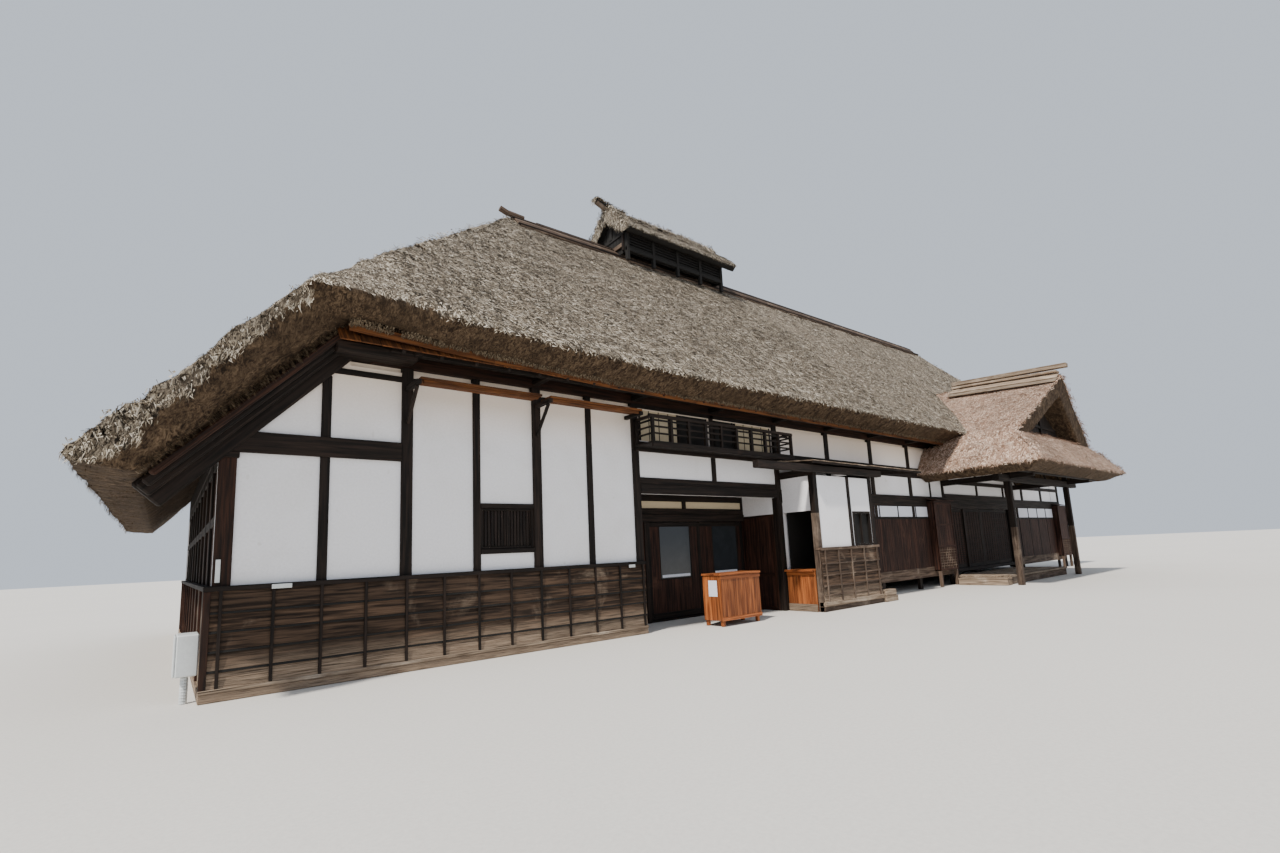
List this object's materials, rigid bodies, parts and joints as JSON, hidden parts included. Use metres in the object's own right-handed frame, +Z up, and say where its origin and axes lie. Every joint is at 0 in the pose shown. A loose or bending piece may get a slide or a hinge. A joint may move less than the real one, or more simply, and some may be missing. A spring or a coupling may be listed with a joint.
{
  "type": "thatched farmhouse",
  "caption": "Long timber-framed farmhouse with plaster panels, hipped thatched roof, ridge smoke vent, sliding doors and a thatched porch.",
  "frame": {"origin": "foot of the front left corner post, on the underside of the base sill", "axes": "+X along the front towards the porch, +Y into the house, +Z up"},
  "size_m": [30.86, 14.04, 11.6847],
  "materials": {
    "plaster": "matte white lime plaster, slightly stained",
    "timber": "dark smoked timber, matte",
    "board": "weathered brown boards, matte",
    "thatch": "weathered grey-brown straw thatch, shaggy",
    "pale_wood": "sun-bleached timber, matte",
    "counter_planks": "orange-brown varnished planks",
    "glass": "old clear panes with a dark room behind",
    "meter_cover": "light grey plastic cover"
  },
  "bodies": {
    "house": {"front_wall_west": "plaster", "entrance_head_wall": "plaster", "booth_walls": "plaster", "front_wall_middle": "plaster", "door_head_wall": "plaster", "front_wall_east": "plaster", "right_wall": "plaster", "back_wall": "plaster", "front_frame_west": "timber", "entrance_head_frame": "timber", "recess_head_wall": "timber", "balcony": "timber", "booth_frame": "timber", "front_frame_middle": "timber", "door_head_frame": "timber", "front_frame_east": "timber", "rafters_front": "timber", "rafters_back": "timber", "right_frame": "timber", "back_frame": "timber", "eave_frame_front": "timber", "eave_frame_back": "timber", "vent_frame": "timber", "porch_frame": "timber", "porch_gable_board": "timber", "left_wall": "board", "wainscot": "board", "window_shutter": "board", "shelf_boards": "board", "recess_walls": "board", "shutter_box_left": "board", "shutter_box_right": "board", "raised_floor": "board", "upper_floor": "board", "thatch_front": "thatch", "thatch_back": "thatch", "thatch_left": "thatch", "thatch_right": "thatch", "vent_thatch": "thatch", "porch_thatch": "thatch", "pent_roof": "thatch", "ridge_cap": "pale_wood", "porch_ridge": "pale_wood", "porch_deck": "pale_wood", "entrance_window_panes": "glass", "band_panes_middle": "glass", "band_panes_east": "glass", "back_window_panes": "glass", "booth_counter": "counter_planks", "ticket_desk": "counter_planks", "meter_box": "meter_cover"},
    "entrance_leaf_left": {"entrance_door_left": "board"},
    "entrance_leaf_right": {"entrance_door_right": "board"},
    "lattice_leaf_1": {"lattice_door_1": "board"},
    "lattice_leaf_2": {"lattice_door_2": "board"},
    "lattice_leaf_3": {"lattice_door_3": "board"},
    "lattice_leaf_4": {"lattice_door_4": "board"}
  },
  "joints": [
    {"name": "entrance_left_slide", "type": "slide", "parent": "house", "child": "entrance_leaf_left", "axis": [1, 0, 0], "range_m": [0, 1.32]},
    {"name": "entrance_right_slide", "type": "slide", "parent": "house", "child": "entrance_leaf_right", "axis": [-1, 0, 0], "range_m": [0, 1.32]},
    {"name": "lattice_1_slide", "type": "slide", "parent": "house", "child": "lattice_leaf_1", "axis": [1, 0, 0], "range_m": [0, 1]},
    {"name": "lattice_2_slide", "type": "slide", "parent": "house", "child": "lattice_leaf_2", "axis": [-1, 0, 0], "range_m": [0, 1]},
    {"name": "lattice_3_slide", "type": "slide", "parent": "house", "child": "lattice_leaf_3", "axis": [1, 0, 0], "range_m": [0, 1]},
    {"name": "lattice_4_slide", "type": "slide", "parent": "house", "child": "lattice_leaf_4", "axis": [-1, 0, 0], "range_m": [0, 1]}
  ]
}
